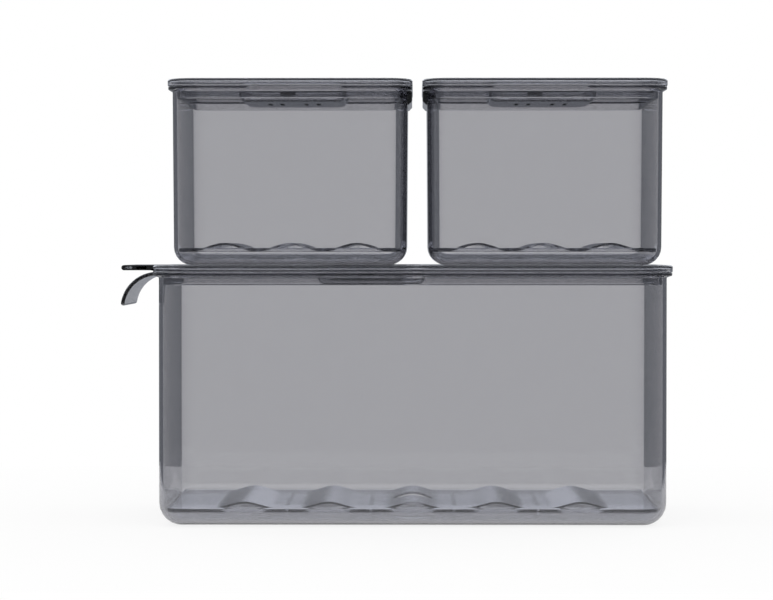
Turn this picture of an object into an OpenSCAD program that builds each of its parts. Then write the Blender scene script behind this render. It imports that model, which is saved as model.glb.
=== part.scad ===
// Stacking set of clear fridge bins: a long bin that carries two small bins on its lid.
// Every bin has a lid with a sliding air vent in a sunk well, and a wavy drain tray that
// lifts out. The long bin has a curved pull handle, and the small bins have grip lips on
// the ends that face each other. The origin is the centre of the long bin's base, +X runs
// along the long bin away from its pull handle, +Z is up and the front is -Y. Millimetres.

/* [Long bin] */
// Length of the long bin's body
long_l = 325; // [300:1:360]
// Depth of the long bin's body, front to back
long_d = 160; // [158:1:180]
// Height of the long bin from base to flange top
long_h = 162; // [120:1:200]
// Corner radius of the long bin in plan
long_corner_r = 16; // [15.5:0.5:20]
// Radius round the long bin's base
long_base_r = 14.5; // [8:0.5:15]
// How far the long lid's rim stands out from the bin's wall
long_rim_out = 3.8; // [3:0.1:5]

/* [Small bins] */
// Length of a small bin's body
small_l = 150.4; // [140:0.2:154]
// Depth of a small bin's body, front to back
small_d = 156; // [146:1:158]
// Height of a small bin from base to flange top
small_h = 114.4; // [80:0.2:140]
// Corner radius of a small bin in plan
small_corner_r = 14; // [12.5:0.5:18]
// Radius round a small bin's base
small_base_r = 11.5; // [8:0.5:12]
// How far a small lid's rim stands out from the bin's wall
small_rim_out = 3.1; // [2.8:0.1:4]
// Gap between the two small lids
pair_gap = 6.2; // [2:0.1:10]
// Sideways shift of the pair from the long bin's centre
pair_shift = 3.1; // [0:0.1:6]

/* [Bin mouldings] */
// Wall and floor thickness of the bins
wall = 2.4; // [1.8:0.1:3]
// How far the flange stays back from the lid's rim
flange_back = 0.3; // [0:0.1:0.6]
// Flange thickness
flange_t = 2.2; // [1.5:0.1:3]
// Height of the taper that carries the flange
flange_taper_h = 1.2; // [0.5:0.1:3]
// Height of the wall above the flange, inside the lid's rim
lip_h = 2.1; // [1:0.1:2.4]

/* [Lids] */
// Height of a lid above the flange
lid_h = 4.4; // [4:0.1:6]
// Thickness of a lid's top plate
plate_t = 1.6; // [1.2:0.1:1.8]
// Thickness of the lid's rim
rim_t = 1.6; // [1.2:0.1:2]
// Radius on the lid's top edge
rim_edge_r = 1.3; // [0.5:0.1:1.5]
// Depth of the plug below the flange top
plug_drop = 8.2; // [6:0.1:10]
// Thickness of the plug
plug_t = 1.8; // [1.4:0.1:2.2]
// Gap between the plug and the bin's wall
plug_gap = 0.5; // [0.3:0.1:0.8]

/* [Vent well] */
// Length of the sunk well, along X
well_l = 70; // [64:1:76]
// Depth of the sunk well, front to back
well_d = 80; // [60:1:90]
// Corner radius of the well in plan
well_corner_r = 12; // [8:0.5:16]
// Radius round the well's floor
well_base_r = 5; // [3:0.5:6]
// Wall and floor thickness of the well
well_t = 1.6; // [1.2:0.1:2]
// Shift of the long lid's well towards the handle
well_shift = 27; // [0:1:60]

/* [Vent slider] */
// Length of the slider plate
slider_l = 46; // [40:1:48]
// Width of the slider plate
slider_w = 34; // [28:1:40]
// Thickness of the slider plate
slider_t = 1.6; // [1.2:0.1:2]
// Travel of the slider from closed to open
slider_travel = 4; // [3:0.5:5]
// Width of a vent slot
slot_w = 2.6; // [1.5:0.1:3]
// Length of a vent slot
slot_len = 22; // [12:1:24]
// Number of vent slots on each side of the knob
slot_count = 2; // [1:1:2]
// Height of the slider's knob above its plate
knob_h = 5; // [3:0.5:6]
// Length of the knob along the travel
knob_l = 10; // [6:0.5:12]

/* [Drain trays] */
// Height of the tray's deck above the base, in the troughs
deck_z = 10.6; // [9.4:0.1:12]
// Thickness of the tray's deck
deck_t = 1.4; // [1:0.1:1.8]
// Height of a crest above the troughs
crest_h = 3.8; // [2.6:0.1:5]
// Half the width of a crest
crest_half_w = 19; // [14:0.5:20]
// Distance between crests in the long tray
long_pitch = 54; // [48:1:60]
// Distance between crests in a small tray
small_pitch = 42.5; // [40:0.5:46]
// Depth of the flat ledge in front of the crests and behind them
ledge_d = 15; // [8:0.5:30]
// Height of the band round the tray
band_h = 2.4; // [2:0.1:3]
// Thickness of the band round the tray
band_t = 1.8; // [1.2:0.1:2.4]
// Gap between the tray and the bin
tray_gap = 1.2; // [0.4:0.1:1.5]
// Diameter of a drain hole
drain_d = 3.6; // [2:0.2:3.8]
// Diameter of the finger hole
finger_d = 26; // [20:1:30]
// Thickness of the tray's runners
runner_t = 1.6; // [1.2:0.1:2.4]

/* [Pull handle and tab] */
// Width of the pull handle
handle_w = 80; // [60:1:100]
// Outer radius of the handle's curve
handle_r = 24; // [20:0.5:28]
// Thickness of the handle
handle_t = 2.4; // [2:0.1:3.5]
// Angle through which the handle curves down
handle_sweep = 85; // [60:1:90]
// Length of the lid's finger tab beyond the rim
tab_l = 23; // [16:0.5:28]
// Width of the finger tab
tab_w = 80; // [40:1:100]
// Thickness of the finger tab
tab_t = 3.4; // [3:0.1:3.8]
// Thickness of the tab's skins above and below its two slots
tab_skin = 0.9; // [0.7:0.1:1.1]
// Width of the web between the tab's two slots
tab_web = 2.6; // [1.5:0.1:4]

/* [Grip lips] */
// Width of the grip lip on a small bin's end
grip_w = 80; // [60:1:110]
// How far the grip lip reaches down from the flange top
grip_h = 10.4; // [6:0.2:14]

/* [Hidden] */
$fn = 96;

smoke = "slategray";
smoke_light = "lightslategray";

small_z = long_h + lid_h;
pair_half = small_l / 2 + small_rim_out + pair_gap / 2;
left_x = pair_shift - pair_half;
right_x = pair_shift + pair_half;

overcut = 1;
well_drop = lid_h + plug_drop;
slot_pitch = 2 * slider_travel;
guide_gap = 0.4;
guide_w = 2;
guide_lip = 1.2;
guide_h = slider_t + guide_gap;
knob_w = slot_len - 6;
knob_edge_r = 1.5;
knob_rib_r = 0.6;
crest_steps = 10;
band_rise = 0.6;
runner_inset = 14;
strut_w = 6.4;
strut_t = 1.2;
// Where the struts stand, outwards from each crest's middle: the first list is for the
// middle crest and the last for the outermost ones
long_struts = [[-6, 6], [-8.4], [5.6]];
small_struts = [[-5.2, 5.2], [-1.6]];
drain_pitch = 14;
drain_rows = 3;
tab_nose = 2.6;
tab_slot_ls = [4.6, 6.4];
tab_gusset_l = 4;
tab_seat_gap = 0.4;
grip_chamfer = 2.2;
handle_tip_r = 3;
rib_lengths = [21, 18, 16];
rib_pitch = 2.9;
rib_h = 0.8;
rib_out = 0.5;
rib_x = 43.5;
rib_drop = 15.2;

// Rectangle with its lower outer corner rounded, drawn from the sweep's centre line
module rounded_section(w, h, r) {
    square([w - r, h]);
    translate([0, r]) square([w, h - r]);
    translate([w - r, r]) circle(r);
}

// Flat rounded rectangle
module rounded_rect(l, d, r) {
    square([l - 2 * r, d], center = true);
    square([l, d - 2 * r], center = true);
    for (x = [-1, 1], y = [-1, 1])
        translate([x * (l / 2 - r), y * (d / 2 - r)]) circle(r);
}

// Sweeps a section round a rounded rectangle. The section's own X is the distance
// outwards from the line through the corner centres.
module around(l, d, r) {
    for (side = [0:3]) {
        span = side % 2 == 0 ? [l / 2 - r, d / 2 - r] : [d / 2 - r, l / 2 - r];
        rotate(90 * side) {
            translate([span[0], span[1], 0]) rotate_extrude(angle = 90) children();
            translate([span[0], 0, 0])
                rotate([90, 0, 0]) linear_extrude(height = 2 * span[1], center = true)
                    children();
        }
    }
}

// Flat slab inside the corner centres
module core(l, d, r, z, t) {
    translate([r - l / 2, r - d / 2, z]) cube([l - 2 * r, d - 2 * r, t]);
}

// Solid block with rounded upright corners and a rounded base
module rounded_block(l, d, h, r, base_r) {
    around(l, d, r) rounded_section(r, h, base_r);
    core(l, d, r, 0, h);
}

// Part of a flat ring between two angles, at most 180 degrees apart
module ring_sector(outer_r, t, from, to) {
    far = 2 * outer_r;
    intersection() {
        difference() {
            circle(outer_r);
            circle(outer_r - t);
        }
        polygon([
            [0, 0],
            for (angle = [from, (from + to) / 2, to]) far * [cos(angle), sin(angle)]
        ]);
    }
}

// Wall, rounded base, flange and lip of a bin
module bin_section(h, r, base_r, rim_out) {
    flange_out = rim_out - flange_back;
    square([r - base_r, wall]);
    translate([r - base_r, base_r]) ring_sector(base_r, wall, -90, 0);
    translate([r - wall, base_r]) square([wall, h + lip_h - base_r]);
    polygon([
        [r - wall / 2, h - flange_t - flange_taper_h],
        [r, h - flange_t - flange_taper_h],
        [r + flange_out * 0.8, h - flange_t],
        [r + flange_out, h - flange_t],
        [r + flange_out, h],
        [r - wall / 2, h],
    ]);
}

// Open bin: the swept wall and the flat floor
module bin_shell(l, d, h, r, base_r, rim_out) {
    around(l, d, r) bin_section(h, r, base_r, rim_out);
    core(l, d, r, 0, wall);
}

// Plate edge, rim and plug of a lid, with Z from the flange top
module lid_section(r, rim_out) {
    rim_x = r + rim_out;
    translate([0, lid_h - plate_t]) square([rim_x - rim_edge_r, plate_t]);
    translate([rim_x - rim_t, 0]) square([rim_t, lid_h - rim_edge_r]);
    intersection() {
        translate([rim_x - rim_edge_r, lid_h - rim_edge_r]) circle(rim_edge_r);
        translate([rim_x - rim_edge_r, lid_h - rim_edge_r]) square(rim_edge_r);
    }
    translate([r - wall - plug_gap - plug_t, -plug_drop])
        square([plug_t, plug_drop + lid_h - plate_t / 2]);
}

// Round-ended vent slots on both sides of the knob, as cutters through a plate
module vent_slots(z, t) {
    for (side = [-1, 1], i = [1:slot_count])
        translate([side * i * slot_pitch, 0, z - overcut])
            linear_extrude(height = t + 2 * overcut) {
                square([slot_w, slot_len - slot_w], center = true);
                for (end = [-1, 1])
                    translate([0, end * (slot_len - slot_w) / 2]) circle(slot_w / 2);
            }
}

// Two rails that hold the slider down on the well's floor
module slider_guides() {
    rail_y = slider_w / 2 + guide_gap;
    rail_l = slider_l - 4;
    for (s = [-1, 1]) {
        translate([-rail_l / 2, s > 0 ? rail_y : -rail_y - guide_w, -overcut / 2])
            cube([rail_l, guide_w, guide_h + guide_lip + overcut / 2]);
        translate([-rail_l / 2, s > 0 ? rail_y - guide_lip : -rail_y - guide_w / 2, guide_h])
            cube([rail_l, guide_lip + guide_w / 2, guide_lip]);
    }
}

// Lid with its plug and the sunk well for the vent slider, Z from the flange top
module lid_body(l, d, r, rim_out, well_x) {
    floor_z = well_t - plug_drop;
    difference() {
        union() {
            around(l, d, r) lid_section(r, rim_out);
            core(l, d, r, lid_h - plate_t, plate_t);
            translate([well_x, 0, -plug_drop])
                rounded_block(well_l, well_d, well_drop, well_corner_r, well_base_r);
        }
        translate([well_x, 0, floor_z])
            rounded_block(well_l - 2 * well_t, well_d - 2 * well_t, well_drop,
                          well_corner_r - well_t, well_base_r - well_t);
        translate([well_x, 0, -plug_drop]) vent_slots(0, well_t);
    }
    translate([well_x, 0, floor_z]) slider_guides();
}

// Side outline of the knob, with a rounded top and grip ribs
module knob_outline() {
    h = slider_t / 2 + knob_h;
    translate([-knob_l / 2, 0]) square([knob_l, h - knob_edge_r]);
    translate([knob_edge_r - knob_l / 2, 0]) square([knob_l - 2 * knob_edge_r, h]);
    for (s = [-1, 1])
        translate([s * (knob_l / 2 - knob_edge_r), h - knob_edge_r]) circle(knob_edge_r);
    for (i = [-1:1])
        translate([i * knob_l / 4, h - 0.1]) circle(knob_rib_r);
}

// Slotted plate with a ribbed knob. At rest its slots lie between the well's slots, so
// the vent is closed. Z from the well's floor.
module slider_body() {
    translate([-slider_travel, 0, 0]) {
        difference() {
            translate([-slider_l / 2, -slider_w / 2, 0]) cube([slider_l, slider_w, slider_t]);
            vent_slots(0, slider_t);
        }
        translate([0, 0, slider_t / 2]) rotate([90, 0, 0])
            linear_extrude(height = knob_w, center = true) knob_outline();
    }
}

// Rise of the deck at a distance from a crest's middle: a raised cosine
function crest_rise(x) = crest_h * (1 + cos(180 * x / crest_half_w)) / 2;

// Side outline of the wavy deck: flat troughs between evenly spaced crests
module deck_outline(l, pitch, crests) {
    n = (crests - 1) / 2;
    curve = [
        for (i = [-n:n], k = [-crest_steps:crest_steps])
            let (x = k * crest_half_w / crest_steps) [i * pitch + x, crest_rise(x)]
    ];
    line = concat([[-l / 2, 0]], curve, [[l / 2, 0]]);
    last = len(line) - 1;
    polygon(concat(
        [for (p = line) [p[0], deck_z + p[1]]],
        [for (i = [last:-1:0]) [line[i][0], deck_z - deck_t + line[i][1]]]
    ));
}

// Flat ledges at the front and the back, with rounded corners, and the wavy deck between
module deck_plate(l, d, r, pitch, crests) {
    wavy_d = d - 2 * ledge_d;
    rotate([90, 0, 0]) linear_extrude(height = wavy_d, center = true)
        deck_outline(l, pitch, crests);
    translate([0, 0, deck_z - deck_t]) linear_extrude(height = deck_t) difference() {
        rounded_rect(l, d, r);
        square([l + overcut, wavy_d - 2 * strut_t], center = true);
    }
}

// Posts that divide the arched openings under the ends of the crests
module struts(wavy_d, pitch, offsets) {
    n = len(offsets) - 1;
    foot_z = deck_z - deck_t / 2;
    for (i = [-n:n], off = offsets[abs(i)], s = [-1, 1]) {
        x = i * pitch + (i < 0 ? -off : off);
        translate([x - strut_w / 2, s * (wavy_d - strut_t) / 2 - strut_t / 2, foot_z])
            cube([strut_w, strut_t, crest_rise(abs(off) + strut_w / 2)]);
    }
}

// Two runners along the tray, standing on the flat of the bin's floor
module runners(l, d) {
    for (s = [-1, 1])
        translate([runner_inset - l / 2, s * (d / 2 - runner_inset) - runner_t / 2, wall])
            cube([l - 2 * runner_inset, runner_t, deck_z - wall - deck_t / 2]);
}

// Drain holes along every trough between two crests
module drain_holes(pitch, crests) {
    n = crests / 2 - 1;
    for (i = [-n:n], row = [-drain_rows:drain_rows])
        translate([i * pitch, row * drain_pitch, deck_z - deck_t - overcut])
            cylinder(h = deck_t + 2 * overcut, d = drain_d);
}

// Drain tray inside a bin, Z from the bin's base. The band round it stops short of the
// curve where the bin's floor turns up into the wall.
module tray_body(bin_l, bin_d, bin_r, bin_base_r, pitch, offsets) {
    crests = 2 * len(offsets) - 1;
    band_z = deck_z + band_rise - band_h;
    round_in = bin_base_r - wall;
    bite = round_in - sqrt(pow(round_in, 2) - pow(max(0, bin_base_r - band_z), 2));
    inset = wall + bite + tray_gap;
    l = bin_l - 2 * inset;
    d = bin_d - 2 * inset;
    r = bin_r - inset;
    difference() {
        union() {
            deck_plate(l - band_t, d - band_t, r - band_t / 2, pitch, crests);
            translate([0, 0, band_z])
                around(l, d, r) translate([r - band_t, 0]) square([band_t, band_h]);
            struts(d - band_t - 2 * ledge_d, pitch, offsets);
            runners(l, d);
        }
        drain_holes(pitch, crests);
        translate([0, 0, deck_z - deck_t - overcut])
            cylinder(h = deck_t + crest_h + 2 * overcut, d = finger_d);
    }
}

// Curved pull handle on the long bin's -X end, with rounded lower corners
module handle() {
    flange_out = long_rim_out - flange_back;
    root_x = -long_l / 2 - flange_out;
    tip_z = long_h - handle_r + handle_r * cos(handle_sweep);
    intersection() {
        rotate([90, 0, 0]) linear_extrude(height = handle_w, center = true) {
            translate([root_x, long_h - handle_r])
                ring_sector(handle_r, handle_t, 90, 90 + handle_sweep);
            translate([root_x - overcut / 2, long_h - handle_t])
                square([flange_out + wall / 2 + overcut / 2, handle_t]);
        }
        translate([root_x + overcut + wall, 0, tip_z + handle_r])
            rotate([0, -90, 0]) linear_extrude(height = 2 * handle_r)
                rounded_rect(2 * handle_r, handle_w, handle_tip_r);
    }
}

// Finger tab on the long lid's -X end, cored by two slots open at both ends, Z from the
// flange top
module finger_tab() {
    rim_x = -long_l / 2 - long_rim_out;
    tip_x = rim_x - tab_l;
    low_z = lid_h - tab_t;
    slot_xs = [tip_x + tab_nose, tip_x + tab_nose + tab_slot_ls[0] + tab_web];
    rotate([90, 0, 0]) linear_extrude(height = tab_w, center = true) difference() {
        union() {
            translate([tip_x + tab_t / 2, low_z]) square([tab_l - tab_t / 2 + rim_t / 2, tab_t]);
            translate([tip_x + tab_t / 2, low_z + tab_t / 2]) circle(tab_t / 2);
            polygon([
                [rim_x - tab_gusset_l, low_z + tab_t / 2],
                [rim_x - tab_gusset_l, low_z],
                [rim_x, tab_seat_gap],
                [rim_x + rim_t / 2, tab_seat_gap],
                [rim_x + rim_t / 2, low_z + tab_t / 2],
            ]);
        }
        for (i = [0:1])
            translate([slot_xs[i], low_z + tab_skin])
                square([tab_slot_ls[i], tab_t - 2 * tab_skin]);
    }
}

// Three short grip ribs on each side of a small bin's back wall
module grip_ribs() {
    for (s = [-1, 1], i = [0:len(rib_lengths) - 1])
        translate([s * rib_x - rib_lengths[i] / 2, small_d / 2 - wall / 2,
                   small_h - rib_drop + i * rib_pitch])
            cube([rib_lengths[i], wall / 2 + rib_out, rib_h]);
}

// Thick lip under the flange on one end of a small bin, to pull it by
module grip_lip(end) {
    lip_out = small_rim_out - flange_back;
    translate([end * small_l / 2, 0, small_h]) rotate([90, 0, 0])
        linear_extrude(height = grip_w, center = true)
            polygon([
                [-end * wall / 2, 0],
                [end * lip_out, 0],
                [end * lip_out, grip_chamfer - grip_h],
                [end * (lip_out - grip_chamfer), -grip_h],
                [-end * wall / 2, -grip_h],
            ]);
}

// Small bin with its grip lip on the +X end or the -X end
module small_bin(grip_end) {
    bin_shell(small_l, small_d, small_h, small_corner_r, small_base_r, small_rim_out);
    grip_ribs();
    grip_lip(grip_end);
}

module small_lid() {
    translate([0, 0, small_h])
        lid_body(small_l, small_d, small_corner_r, small_rim_out, 0);
}

module small_slider() {
    translate([0, 0, small_h - plug_drop + well_t]) slider_body();
}

module small_tray() {
    tray_body(small_l, small_d, small_corner_r, small_base_r, small_pitch, small_struts);
}

module large_bin() {
    color(smoke) {
        bin_shell(long_l, long_d, long_h, long_corner_r, long_base_r, long_rim_out);
        handle();
    }
}

module large_lid() {
    color(smoke) translate([0, 0, long_h]) {
        lid_body(long_l, long_d, long_corner_r, long_rim_out, -well_shift);
        finger_tab();
    }
}

module large_vent_slider() {
    color(smoke)
        translate([-well_shift, 0, long_h - plug_drop + well_t]) slider_body();
}

module large_tray() {
    color(smoke_light)
        tray_body(long_l, long_d, long_corner_r, long_base_r, long_pitch, long_struts);
}

module left_bin() { color(smoke) translate([left_x, 0, small_z]) small_bin(1); }
module left_lid() { color(smoke) translate([left_x, 0, small_z]) small_lid(); }
module left_vent_slider() { color(smoke) translate([left_x, 0, small_z]) small_slider(); }
module left_tray() { color(smoke_light) translate([left_x, 0, small_z]) small_tray(); }

module right_bin() { color(smoke) translate([right_x, 0, small_z]) small_bin(-1); }
module right_lid() { color(smoke) translate([right_x, 0, small_z]) small_lid(); }
module right_vent_slider() { color(smoke) translate([right_x, 0, small_z]) small_slider(); }
module right_tray() { color(smoke_light) translate([right_x, 0, small_z]) small_tray(); }

large_bin();
large_lid();
large_vent_slider();
large_tray();
left_bin();
left_lid();
left_vent_slider();
left_tray();
right_bin();
right_lid();
right_vent_slider();
right_tray();
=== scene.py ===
import math
from collections import namedtuple

import bmesh
import bpy
from mathutils import Matrix, Vector


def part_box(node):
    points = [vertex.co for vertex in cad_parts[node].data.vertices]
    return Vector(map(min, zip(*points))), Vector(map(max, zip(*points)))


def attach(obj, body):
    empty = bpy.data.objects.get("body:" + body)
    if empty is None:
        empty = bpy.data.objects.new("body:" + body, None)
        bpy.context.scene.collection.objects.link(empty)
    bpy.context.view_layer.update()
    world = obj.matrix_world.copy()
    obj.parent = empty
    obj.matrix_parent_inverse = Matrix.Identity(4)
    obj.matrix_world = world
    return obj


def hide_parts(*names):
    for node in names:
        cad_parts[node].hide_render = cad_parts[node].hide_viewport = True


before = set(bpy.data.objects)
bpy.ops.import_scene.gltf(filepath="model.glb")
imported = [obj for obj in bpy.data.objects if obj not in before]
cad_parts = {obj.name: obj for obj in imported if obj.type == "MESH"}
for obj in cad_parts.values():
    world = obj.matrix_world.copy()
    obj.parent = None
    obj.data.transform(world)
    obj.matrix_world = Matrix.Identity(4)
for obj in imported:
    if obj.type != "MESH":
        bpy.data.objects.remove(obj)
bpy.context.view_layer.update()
scene = bpy.context.scene

# Sizes in millimetres. Places come from the CAD model's boxes.
MM = 0.001
Bin = namedtuple("Bin", "length depth height corner base rim draft well_x")
LONG = Bin(325, 160, 162, 16, 14.5, 3.8, 0, -27)
SMALL = Bin(150.4, 156, 114.4, 14, 11.5, 3.1, 0.8, 0)
SEAT_GAP = 0.1
WALL = 2.4
FLANGE_BACK = 0.3
FLANGE_T = 2.2
FLANGE_TAPER = 1.2
LIP = 2.1
LID_H = 4.4
PLATE_T = 1.6
RIM_T = 1.6
PLUG_DROP = 8.2
PLUG_GAP = 0.5
PLUG_T = 1.8
WELL = (70, 80)
WELL_CORNER = 12
WELL_BASE = 5
WELL_T = 1.6
SLIDER = (46, 34, 1.6)
SLOT = (2.6, 22)
SLOT_PITCH = 8
SLIDER_REST = -4
KNOB = (10, 16, 5)
GUIDE_GAP = 0.4
GUIDE_W = 2
GUIDE_LIP = 1.2
HANDLE_W = 80
HANDLE_R = 24
HANDLE_T = 2.4
HANDLE_SWEEP = 85
TAB = (23, 80, 3.4)
TAB_SKIN = 0.9
TAB_SLOTS = ((2.6, 4.6), (9.8, 6.4))
GRIP_W = 80
GRIP_H = 10.4
GRIP_CHAMFER = 2.2
RIB_LENGTHS = (21, 18, 16)
RIB_X = 43.5
RIB_DROP = 15.2
RIB_PITCH = 2.9
RIB_H = 0.8
RIB_OUT = 0.5
DECK_Z = 10.6
DECK_T = 1.4
CREST_H = 3.8
CREST_HALF_W = 19
LEDGE_D = 15
BAND_H = 2.4
BAND_T = 1.8
BAND_RISE = 0.6
TRAY_GAP = 1.2
RUNNER_T = 1.6
RUNNER_INSET = 14
STRUT_W = 6.4
STRUT_T = 1.2
DRAIN_D = 3.6
DRAIN_PITCH = 14
DRAIN_ROWS = 3
FINGER_D = 26
Tray = namedtuple("Tray", "pitch struts")
LONG_TRAY = Tray(54, ((-6, 6), (-8.4,), (5.6,)))
SMALL_TRAY = Tray(42.5, ((-5.2, 5.2), (-1.6,)))

CORNER_STEPS = 12
ARC_STEP = math.radians(15)
HANDLE_STEPS = 40
HANDLE_TIP_CORNER = 3
HANDLE_EDGE = 0.9
FAR_FROM_TIP = 99
CREST_STEPS = 16
DECK_EDGE = 0.35
MERGE_DISTANCE = 0.004
SHARP_ANGLE = math.radians(40)
NORMAL_WEIGHT = 90

# Looks. Absorption is per metre.
SMOKE_TINT = (0.02, 0.018, 0.075, 1)
SLIDER_TINT = (0.02, 0.02, 0.08, 1)
BODY_DENSITY = 203
SLIDER_DENSITY = 260
TRAY_DENSITY = 15
PLASTIC_IOR = 1.5
MIRRORED_TONE = (0.87, 0.91, 1, 1)
MIRRORED_WALL = 0.34
MIRRORED_CEILING = 1.5
WALL_TOP = 0.065
CEILING_EDGE = 0.13
FLOOR_HALF = 0.4
FLOOR_DROP = 0.5
FLOOR_GREY = 0.15
FLOOR_GLOW = 0.85
CAMERA_PLACE = (0.0024, -1.760, 0.1757)
CAMERA_PITCH = 1.065
CAMERA_TURN = 0.644
CAMERA_LENS = 123.4


# Mesh code

def rounded_path(corners):
    """Path through (x, z, radius) corners, with an arc in place of each corner. The ends of
    an open path have no radius."""
    path = []
    for i, (x, z, radius) in enumerate(corners):
        here = Vector((x, z))
        if radius == 0:
            path.append(here)
            continue
        back = (Vector(corners[i - 1][:2]) - here).normalized()
        ahead = (Vector(corners[(i + 1) % len(corners)][:2]) - here).normalized()
        half = back.angle(ahead) / 2
        reach = radius / math.tan(half)
        centre = here + (back + ahead).normalized() * radius / math.sin(half)
        start = here + back * reach - centre
        end = here + ahead * reach - centre
        first = math.atan2(start.y, start.x)
        sweep = (math.atan2(end.y, end.x) - first + math.pi) % math.tau - math.pi
        steps = max(2, round(abs(sweep) / ARC_STEP))
        for step in range(steps + 1):
            angle = first + sweep * step / steps
            path.append(centre + radius * Vector((math.cos(angle), math.sin(angle))))
    return path


def rect_loop(half_x, half_y, radius, z, centre=(0, 0)):
    """Points round a rounded rectangle, anticlockwise from above."""
    loop = []
    for quarter, (side_x, side_y) in enumerate(((1, 1), (-1, 1), (-1, -1), (1, -1))):
        for step in range(CORNER_STEPS + 1):
            angle = math.pi / 2 * (quarter + step / CORNER_STEPS)
            loop.append((
                centre[0] + side_x * (half_x - radius) + radius * math.cos(angle),
                centre[1] + side_y * (half_y - radius) + radius * math.sin(angle),
                z,
            ))
    return loop


def swept(length, depth, radius, path, centre=(0, 0)):
    """A loop round a rounded rectangle for each (offset outwards, z) point of a path."""
    return [
        rect_loop(length / 2 + out, depth / 2 + out, radius + out, z, centre)
        for out, z in path
    ]


def rounded_box(size, corner, edge, centre=(0, 0), low=0):
    """Loops of a box with rounded upright corners and rounded top and bottom edges."""
    high = low + size[2]
    inner = -edge - 0.1
    path = rounded_path([(inner, low, 0), (0, low, edge), (0, high, edge), (inner, high, 0)])
    return swept(size[0], size[1], corner, path, centre)


def prism(outline, half_width):
    """Loops of an (x, z) outline pushed along Y."""
    return [[(x, y, z) for x, z in outline] for y in (-half_width, half_width)]


def build(name, shells, ring=False):
    """Mesh object from one or more shells, each a list of loops joined by quads. The ends
    are closed, or joined to each other when it is a ring."""
    bm = bmesh.new()
    for loops in shells:
        rings = [[bm.verts.new(Vector(point)) for point in loop] for loop in loops]
        pairs = list(zip(rings, rings[1:]))
        if ring:
            pairs.append((rings[-1], rings[0]))
        else:
            bm.faces.new(rings[0])
            bm.faces.new(rings[-1])
        for near, far in pairs:
            for i in range(len(near)):
                j = (i + 1) % len(near)
                bm.faces.new((near[i], near[j], far[j], far[i]))
    bmesh.ops.recalc_face_normals(bm, faces=bm.faces)
    mesh = bpy.data.meshes.new(name)
    bm.to_mesh(mesh)
    bm.free()
    obj = bpy.data.objects.new(name, mesh)
    scene.collection.objects.link(obj)
    return obj


def combine(obj, tool, operation):
    """Adds a tool mesh to an object or cuts it away, and removes the tool."""
    modifier = obj.modifiers.new(operation, "BOOLEAN")
    modifier.operation = operation
    modifier.solver = "EXACT"
    modifier.object = tool
    graph = bpy.context.evaluated_depsgraph_get()
    mesh = bpy.data.meshes.new_from_object(obj.evaluated_get(graph))
    obj.modifiers.clear()
    obj.data = mesh
    bpy.data.objects.remove(tool)


def finish_mesh(obj, place):
    """Scales to metres, moves to its place, and gives flats and curves clean normals."""
    obj.data.transform(Matrix.Translation(place) @ Matrix.Scale(MM, 4))
    bm = bmesh.new()
    bm.from_mesh(obj.data)
    bmesh.ops.remove_doubles(bm, verts=bm.verts, dist=MERGE_DISTANCE * MM)
    bmesh.ops.dissolve_degenerate(bm, edges=bm.edges, dist=MERGE_DISTANCE * MM)
    bm.to_mesh(obj.data)
    bm.free()
    obj.data.polygons.foreach_set("use_smooth", [True] * len(obj.data.polygons))
    obj.data.set_sharp_from_angle(angle=SHARP_ANGLE)
    weighted = obj.modifiers.new("weighted_normals", "WEIGHTED_NORMAL")
    weighted.keep_sharp = True
    weighted.weight = NORMAL_WEIGHT


# Bins

def bin_loops(size, base_z):
    flange = size.rim - FLANGE_BACK
    middle = -size.base - 0.5
    path = rounded_path([
        (middle, WALL, 0),
        (-WALL, WALL, size.base - WALL),
        (-WALL, size.height + LIP, 0.7),
        (0, size.height + LIP, 0.7),
        (0, size.height, 0.4),
        (flange, size.height, 0.7),
        (flange, size.height - FLANGE_T, 0.6),
        (0, size.height - FLANGE_T - FLANGE_TAPER, 0.6),
        (0, base_z, size.base),
        (middle, base_z, 0),
    ])
    drafted = [(out - size.draft * max(0, 1 - z / size.height), z) for out, z in path]
    return swept(size.length, size.depth, size.corner, drafted)


def handle_loops():
    """Cross-sections of the pull handle from its root inside the wall to its rounded tip."""
    flange = LONG.rim - FLANGE_BACK
    root_x = -LONG.length / 2 - flange
    centre_z = LONG.height - HANDLE_R
    middle_r = HANDLE_R - HANDLE_T / 2
    sections = [(Vector((root_x + flange + WALL / 2, 0, LONG.height - HANDLE_T / 2)),
                 Vector((0, 0, 1)), FAR_FROM_TIP)]
    for step in range(HANDLE_STEPS + 1):
        angle = math.radians(90 + HANDLE_SWEEP * step / HANDLE_STEPS)
        normal = Vector((math.cos(angle), 0, math.sin(angle)))
        to_tip = middle_r * math.radians(HANDLE_SWEEP) * (1 - step / HANDLE_STEPS)
        sections.append((Vector((root_x, 0, centre_z)) + middle_r * normal, normal, to_tip))

    def drawn_in(radius, to_tip):
        if to_tip >= radius:
            return 0
        return radius - math.sqrt(radius ** 2 - (radius - to_tip) ** 2)

    loops = []
    for origin, normal, to_tip in sections:
        half_t = HANDLE_T / 2 - min(drawn_in(HANDLE_EDGE, to_tip), HANDLE_EDGE * 0.8)
        half_w = HANDLE_W / 2 - drawn_in(HANDLE_TIP_CORNER, to_tip)
        section = rect_loop(half_t, half_w, min(HANDLE_EDGE, half_t * 0.9), 0)
        loops.append([origin + normal * x + Vector((0, y, 0)) for x, y, _ in section])
    return loops


def rib_shells():
    """Short grip ribs on both sides of a small bin's back wall."""
    shells = []
    for side in (-1, 1):
        for i, length in enumerate(RIB_LENGTHS):
            low = SMALL.height - RIB_DROP + i * RIB_PITCH
            lean = SMALL.draft * (1 - low / SMALL.height)
            centre = (side * RIB_X, SMALL.depth / 2 - WALL / 2 - lean + RIB_OUT / 2)
            box = (length, WALL / 2 + RIB_OUT, RIB_H)
            shells.append(rounded_box(box, 0.4, 0.3, centre, low))
    return shells


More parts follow.
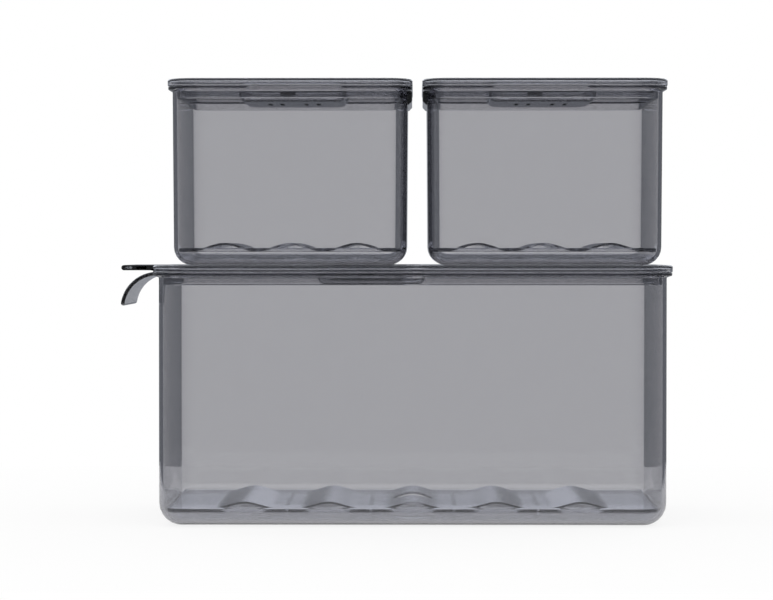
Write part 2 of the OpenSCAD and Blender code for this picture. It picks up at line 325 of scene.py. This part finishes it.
def grip_outline(end):
    """Side outline of the grip lip, from the bin's wall outwards."""
    out = SMALL.rim - FLANGE_BACK
    low = SMALL.height - GRIP_H
    corners = [
        (-WALL / 2, SMALL.height - 0.2, 0),
        (out - 0.1, SMALL.height - 0.2, 0.6),
        (out - 0.1, low + GRIP_CHAMFER, 1),
        (out - GRIP_CHAMFER, low, 0.8),
        (-WALL / 2, low, 0),
    ]
    return [(end * (SMALL.length / 2 + x), z) for x, z in rounded_path(corners)]


def make_long_bin(name):
    obj = build(name, [bin_loops(LONG, 0)])
    combine(obj, build("tool", [handle_loops()]), "UNION")
    return obj


def make_small_bin(name, grip_end):
    obj = build(name, [bin_loops(SMALL, SEAT_GAP)])
    combine(obj, build("tool", [prism(grip_outline(grip_end), GRIP_W / 2)]), "UNION")
    combine(obj, build("tool", rib_shells()), "UNION")
    return obj


# Lids

def lid_loops(size):
    """One chain of loops: the well's outside, the plate's underside, the plug, the rim, the
    plate's top and the well's inside. Z is from the flange top."""
    under = LID_H - PLATE_T
    plug_out = -WALL - PLUG_GAP
    plug_in = plug_out - PLUG_T
    rim_in = size.rim - RIM_T
    floor = WELL_T - PLUG_DROP
    centre = (size.well_x, 0)
    outside = rounded_path([
        (-WELL_BASE - 0.5, -PLUG_DROP, 0),
        (0, -PLUG_DROP, WELL_BASE),
        (0, under, 0.8),
        (1.5, under, 0),
    ])
    edge = rounded_path([
        (plug_in - 1.5, under, 0),
        (plug_in, under, 0.8),
        (plug_in, -PLUG_DROP, 0.7),
        (plug_out, -PLUG_DROP, 0.7),
        (plug_out, under, 0.6),
        (rim_in, under, 0.6),
        (rim_in, SEAT_GAP, 0.5),
        (size.rim, SEAT_GAP, 0.5),
        (size.rim, LID_H, 1.3),
        (size.rim - 3, LID_H, 0),
    ])
    inside = rounded_path([
        (1.5, LID_H, 0),
        (0, LID_H, 0.9),
        (0, floor, WELL_BASE - WELL_T),
        (WELL_T - WELL_BASE - 0.5, floor, 0),
    ])
    inner = [side - 2 * WELL_T for side in WELL]
    return (
        swept(WELL[0], WELL[1], WELL_CORNER, outside, centre)
        + swept(size.length, size.depth, size.corner, edge)
        + swept(inner[0], inner[1], WELL_CORNER - WELL_T, inside, centre)
    )


def slot_shells(centre_x, low, thickness):
    """Cutters for the round-ended vent slots on both sides of the knob."""
    return [
        rounded_box((SLOT[0], SLOT[1], thickness + 2), SLOT[0] / 2 - 0.01, 0.2,
                    (centre_x + side * i * SLOT_PITCH, 0), low - 1)
        for side in (-1, 1) for i in (1, 2)
    ]


def guide_shells(centre_x, floor):
    """Two rails with inward lips that hold the slider down."""
    length = SLIDER[0] - 4
    foot = SLIDER[1] / 2 + GUIDE_GAP
    lip_z = floor + SLIDER[2] + GUIDE_GAP
    top = lip_z + GUIDE_LIP
    shells = []
    for side in (-1, 1):
        corners = [
            (foot, floor - 0.5, 0.1),
            (foot + GUIDE_W, floor - 0.5, 0.1),
            (foot + GUIDE_W, top, 0.5),
            (foot - GUIDE_LIP, top, 0.4),
            (foot - GUIDE_LIP, lip_z, 0.3),
            (foot, lip_z, 0.2),
        ]
        outline = rounded_path(corners)
        shells.append([
            [(centre_x + end * length / 2, side * y, z) for y, z in outline]
            for end in (-1, 1)
        ])
    return shells


def tab_outline():
    """Side outline of the finger tab with its rounded nose and its gusset."""
    rim_x = -LONG.length / 2 - LONG.rim
    tip_x = rim_x - TAB[0]
    low = LID_H - TAB[2]
    corners = [
        (rim_x + RIM_T / 2, LID_H, 0),
        (tip_x, LID_H, TAB[2] / 2 - 0.01),
        (tip_x, low, TAB[2] / 2 - 0.01),
        (rim_x - 4, low, 1.5),
        (rim_x, 0.4, 0.8),
        (rim_x + RIM_T / 2, 0.4, 0),
    ]
    return rounded_path(corners)


def tab_slot_shells():
    """Cutters for the two slots that run through the tab from end to end."""
    tip_x = -LONG.length / 2 - LONG.rim - TAB[0]
    height = TAB[2] - 2 * TAB_SKIN
    shells = []
    for start, length in TAB_SLOTS:
        box = (length, TAB[1] + 4, height)
        centre = (tip_x + start + length / 2, 0)
        shells.append(rounded_box(box, 0.8, 0.7, centre, LID_H - TAB[2] + TAB_SKIN))
    return shells


def make_lid(name, size):
    obj = build(name, [lid_loops(size)])
    floor = WELL_T - PLUG_DROP
    combine(obj, build("tool", slot_shells(size.well_x, -PLUG_DROP, WELL_T)), "DIFFERENCE")
    combine(obj, build("tool", guide_shells(size.well_x, floor)), "UNION")
    return obj


def make_long_lid(name):
    obj = make_lid(name, LONG)
    tab = build("tab", [prism(tab_outline(), TAB[1] / 2)])
    combine(tab, build("tool", tab_slot_shells()), "DIFFERENCE")
    combine(obj, tab, "UNION")
    return obj


def make_slider(name, size):
    """Slotted plate with a ribbed knob, on the well's floor. Z is from the flange top."""
    low = WELL_T - PLUG_DROP + SEAT_GAP
    centre_x = size.well_x + SLIDER_REST
    obj = build(name, [rounded_box(SLIDER, 2, 0.3, (centre_x, 0), low)])
    top = low + SLIDER[2] + KNOB[2]
    corners = [(centre_x - KNOB[0] / 2, low + 0.5, 0), (centre_x - KNOB[0] / 2, top, 1.5)]
    for i in (-1, 0, 1):
        rib_x = centre_x + i * KNOB[0] / 4
        corners += [(rib_x - 0.8, top, 0.2), (rib_x - 0.3, top + 0.5, 0.25),
                    (rib_x + 0.3, top + 0.5, 0.25), (rib_x + 0.8, top, 0.2)]
    corners += [(centre_x + KNOB[0] / 2, top, 1.2), (centre_x + KNOB[0] / 2, low + 0.5, 0)]
    knob = build("tool", [prism(rounded_path(corners), KNOB[1] / 2)])
    combine(obj, knob, "UNION")
    combine(obj, build("tool", slot_shells(centre_x, low, SLIDER[2])), "DIFFERENCE")
    return obj


# Drain trays

def crest_rise(x):
    """Rise of the deck at a distance from a crest's middle: a raised cosine."""
    return CREST_H * (1 + math.cos(math.pi * min(1, abs(x) / CREST_HALF_W))) / 2


def deck_loops(length, half_width, tray):
    """The wavy deck in slices across its width, with its edges rounded at both ends."""
    crests = range(1 - len(tray.struts), len(tray.struts))
    line = [(-length / 2, 0)]
    for i in crests:
        for step in range(-CREST_STEPS, CREST_STEPS + 1):
            x = CREST_HALF_W * step / CREST_STEPS
            line.append((i * tray.pitch + x, crest_rise(x)))
    line.append((length / 2, 0))
    slices = []
    inner = 1 - DECK_EDGE / half_width
    for y, thinner in ((-1, DECK_EDGE), (-inner, 0), (inner, 0), (1, DECK_EDGE)):
        top = [(x, y * half_width, DECK_Z + rise - thinner) for x, rise in line]
        bottom = [(x, y * half_width, DECK_Z - DECK_T + rise + thinner) for x, rise in line]
        slices.append(top + bottom[::-1])
    return slices


def hole_shells(tray):
    """Cutters for the drain holes along the troughs, and for the finger hole."""
    crests = len(tray.struts) * 2 - 1
    shells = []
    for i in range(crests - 1):
        x = (i - crests / 2 + 1) * tray.pitch
        for row in range(-DRAIN_ROWS, DRAIN_ROWS + 1):
            centre = (x, row * DRAIN_PITCH)
            shells.append(rounded_box((DRAIN_D, DRAIN_D, DECK_T + 2), DRAIN_D / 2 - 0.01, 0.2,
                                      centre, DECK_Z - DECK_T - 1))
    shells.append(rounded_box((FINGER_D, FINGER_D, DECK_T + CREST_H + 2), FINGER_D / 2 - 0.01,
                              0.2, (0, 0), DECK_Z - DECK_T - 1))
    return shells


def make_tray(name, size, tray):
    """Z is from the bin's base."""
    band_z = DECK_Z + BAND_RISE - BAND_H
    round_in = size.base - WALL
    bite = round_in - math.sqrt(round_in ** 2 - max(0, size.base - band_z) ** 2)
    inset = WALL + bite + TRAY_GAP
    length = size.length - 2 * inset
    depth = size.depth - 2 * inset
    corner = size.corner - inset
    wavy_half = (depth - BAND_T) / 2 - LEDGE_D
    band_top = band_z + BAND_H
    band = rounded_path([
        (0, band_z, 0.5),
        (0, band_top, 0.8),
        (-BAND_T, band_top, 0.7),
        (-BAND_T, band_z, 0.5),
    ])
    obj = build(name, [swept(length, depth, corner, band)], ring=True)
    plate = (length - BAND_T, depth - BAND_T, DECK_T)
    ledges = build("tool", [rounded_box(plate, corner - BAND_T / 2, 0.2, low=DECK_Z - DECK_T)])
    middle = (length + 2, 2 * (wavy_half - STRUT_T), DECK_T + 2)
    combine(ledges, build("tool", [rounded_box(middle, 0.5, 0.2, low=DECK_Z - DECK_T - 1)]),
            "DIFFERENCE")
    combine(obj, ledges, "UNION")
    combine(obj, build("tool", [deck_loops(length - BAND_T, wavy_half, tray)]), "UNION")
    struts = []
    for i in range(1 - len(tray.struts), len(tray.struts)):
        for off in tray.struts[abs(i)]:
            x = i * tray.pitch + (-off if i < 0 else off)
            rise = crest_rise(abs(off) + STRUT_W / 2)
            for side in (-1, 1):
                centre = (x, side * (wavy_half - STRUT_T / 2 - 0.1))
                struts.append(rounded_box((STRUT_W, STRUT_T, rise), 0.5, 0.2, centre,
                                          DECK_Z - DECK_T / 2))
    combine(obj, build("tool", struts), "UNION")
    runners = []
    for side in (-1, 1):
        box = (length - 2 * RUNNER_INSET, RUNNER_T, DECK_Z - DECK_T / 2 - WALL - SEAT_GAP)
        centre = (0, side * (depth / 2 - RUNNER_INSET))
        runners.append(rounded_box(box, 0.7, 0.4, centre, WALL + SEAT_GAP))
    combine(obj, build("tool", runners), "UNION")
    combine(obj, build("tool", hole_shells(tray)), "DIFFERENCE")
    return obj


# Materials

def smoked_plastic(name, density, tint, roughness):
    """Clear plastic tinted through its thickness, with faint moulding flow in its surface."""
    material = bpy.data.materials.new(name)
    material.use_nodes = True
    tree = material.node_tree
    nodes, links = tree.nodes, tree.links
    shader = nodes["Principled BSDF"]
    shader.inputs["Base Color"].default_value = (1, 1, 1, 1)
    shader.inputs["Transmission Weight"].default_value = 1
    shader.inputs["IOR"].default_value = PLASTIC_IOR

    place = nodes.new("ShaderNodeTexCoord")
    flow = nodes.new("ShaderNodeTexNoise")
    flow.inputs["Scale"].default_value = 35
    flow.inputs["Detail"].default_value = 3
    links.new(place.outputs["Object"], flow.inputs["Vector"])
    gloss = nodes.new("ShaderNodeMapRange")
    gloss.inputs["To Min"].default_value = roughness * 0.5
    gloss.inputs["To Max"].default_value = roughness * 1.5
    links.new(flow.outputs["Fac"], gloss.inputs["Value"])
    links.new(gloss.outputs["Result"], shader.inputs["Roughness"])

    ripple = nodes.new("ShaderNodeTexNoise")
    ripple.inputs["Scale"].default_value = 12
    ripple.inputs["Detail"].default_value = 1
    links.new(place.outputs["Object"], ripple.inputs["Vector"])
    bump = nodes.new("ShaderNodeBump")
    bump.inputs["Strength"].default_value = 0.15
    bump.inputs["Distance"].default_value = 0.05 * MM
    links.new(ripple.outputs["Fac"], bump.inputs["Height"])
    links.new(bump.outputs["Normal"], shader.inputs["Normal"])

    absorb = nodes.new("ShaderNodeVolumeAbsorption")
    absorb.inputs["Color"].default_value = tint
    absorb.inputs["Density"].default_value = density
    links.new(absorb.outputs[0], nodes["Material Output"].inputs["Volume"])
    return material


BIN_SMOKE = smoked_plastic("bin_smoke", BODY_DENSITY, SMOKE_TINT, 0.02)
LID_SMOKE = smoked_plastic("lid_smoke", BODY_DENSITY, SMOKE_TINT, 0.025)
SLIDER_SMOKE = smoked_plastic("slider_smoke", SLIDER_DENSITY, SLIDER_TINT, 0.03)
TRAY_SMOKE = smoked_plastic("tray_smoke", TRAY_DENSITY, SMOKE_TINT, 0.06)


# The assembly

def dress(obj, node, place, material):
    """Places a piece, and lets it stand for its CAD node and move with that node's body."""
    finish_mesh(obj, place)
    obj.data.materials.append(material)
    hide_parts(node)
    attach(obj, node)


for unit, size, tray, grip_end in (
    ("large", LONG, LONG_TRAY, 0),
    ("left", SMALL, SMALL_TRAY, 1),
    ("right", SMALL, SMALL_TRAY, -1),
):
    bin_node, lid_node = unit + "_bin", unit + "_lid"
    lid_low, lid_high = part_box(lid_node)
    seat = Vector((
        lid_high.x - (size.length / 2 + size.rim) * MM,
        (lid_low.y + lid_high.y) / 2,
        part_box(bin_node)[0].z,
    ))
    flange_top = seat + Vector((0, 0, size.height * MM))
    if grip_end:
        body = make_small_bin(unit + "_bin_shell", grip_end)
        lid = make_lid(unit + "_lid_shell", size)
    else:
        body = make_long_bin(unit + "_bin_shell")
        lid = make_long_lid(unit + "_lid_shell")
    slider = make_slider(unit + "_slider_plate", size)
    rack = make_tray(unit + "_drain_tray", size, tray)
    dress(body, bin_node, seat, BIN_SMOKE)
    dress(lid, lid_node, flange_top, LID_SMOKE)
    dress(slider, unit + "_vent_slider", flange_top, SLIDER_SMOKE)
    dress(rack, unit + "_tray", seat, TRAY_SMOKE)


# Studio: a white room whose walls are dim to reflections, with a bright ceiling

def make_world():
    world = bpy.data.worlds.new("studio")
    world.use_nodes = True
    nodes, links = world.node_tree.nodes, world.node_tree.links
    background = nodes["Background"]
    place = nodes.new("ShaderNodeTexCoord")
    split = nodes.new("ShaderNodeSeparateXYZ")
    links.new(place.outputs["Generated"], split.inputs[0])
    ceiling = nodes.new("ShaderNodeMapRange")
    ceiling.interpolation_type = "SMOOTHSTEP"
    ceiling.inputs["From Min"].default_value = WALL_TOP
    ceiling.inputs["From Max"].default_value = CEILING_EDGE
    ceiling.inputs["To Min"].default_value = MIRRORED_WALL
    ceiling.inputs["To Max"].default_value = MIRRORED_CEILING
    links.new(split.outputs["Z"], ceiling.inputs["Value"])
    path = nodes.new("ShaderNodeLightPath")
    mirrored = nodes.new("ShaderNodeMath")
    mirrored.operation = "GREATER_THAN"
    mirrored.inputs[1].default_value = 0.5
    links.new(path.outputs["Glossy Depth"], mirrored.inputs[0])
    mix = nodes.new("ShaderNodeMix")
    mix.data_type = "FLOAT"
    mix.inputs[2].default_value = 1.0
    links.new(mirrored.outputs[0], mix.inputs[0])
    links.new(ceiling.outputs["Result"], mix.inputs[3])
    links.new(mix.outputs[0], background.inputs["Strength"])
    tone = nodes.new("ShaderNodeMix")
    tone.data_type = "RGBA"
    tone.inputs[6].default_value = (1, 1, 1, 1)
    tone.inputs[7].default_value = MIRRORED_TONE
    links.new(mirrored.outputs[0], tone.inputs[0])
    links.new(tone.outputs[2], background.inputs["Color"])
    return world


def make_floor():
    bm = bmesh.new()
    corners = [(x * FLOOR_HALF, y * FLOOR_HALF) for x, y in ((-1, -1), (1, -1), (1, 1), (-1, 1))]
    bm.faces.new([bm.verts.new((x, y, -FLOOR_DROP * MM)) for x, y in corners])
    mesh = bpy.data.meshes.new("floor")
    bm.to_mesh(mesh)
    bm.free()
    floor = bpy.data.objects.new("floor", mesh)
    scene.collection.objects.link(floor)
    material = bpy.data.materials.new("pale_floor")
    material.use_nodes = True
    shader = material.node_tree.nodes["Principled BSDF"]
    shader.inputs["Base Color"].default_value = (FLOOR_GREY, FLOOR_GREY, FLOOR_GREY, 1)
    shader.inputs["Roughness"].default_value = 1
    shader.inputs["Specular IOR Level"].default_value = 0
    shader.inputs["Emission Color"].default_value = (1, 1, 1, 1)
    shader.inputs["Emission Strength"].default_value = FLOOR_GLOW
    mesh.materials.append(material)


def make_camera():
    data = bpy.data.cameras.new("camera")
    data.lens = CAMERA_LENS
    data.sensor_width = 36
    camera = bpy.data.objects.new("camera", data)
    scene.collection.objects.link(camera)
    camera.location = CAMERA_PLACE
    camera.rotation_euler = (math.radians(90 - CAMERA_PITCH), 0, math.radians(CAMERA_TURN))
    scene.camera = camera


scene.world = make_world()
make_floor()
make_camera()
scene.view_settings.view_transform = "Standard"
scene.cycles.max_bounces = 48
scene.cycles.transmission_bounces = 48
scene.cycles.glossy_bounces = 16
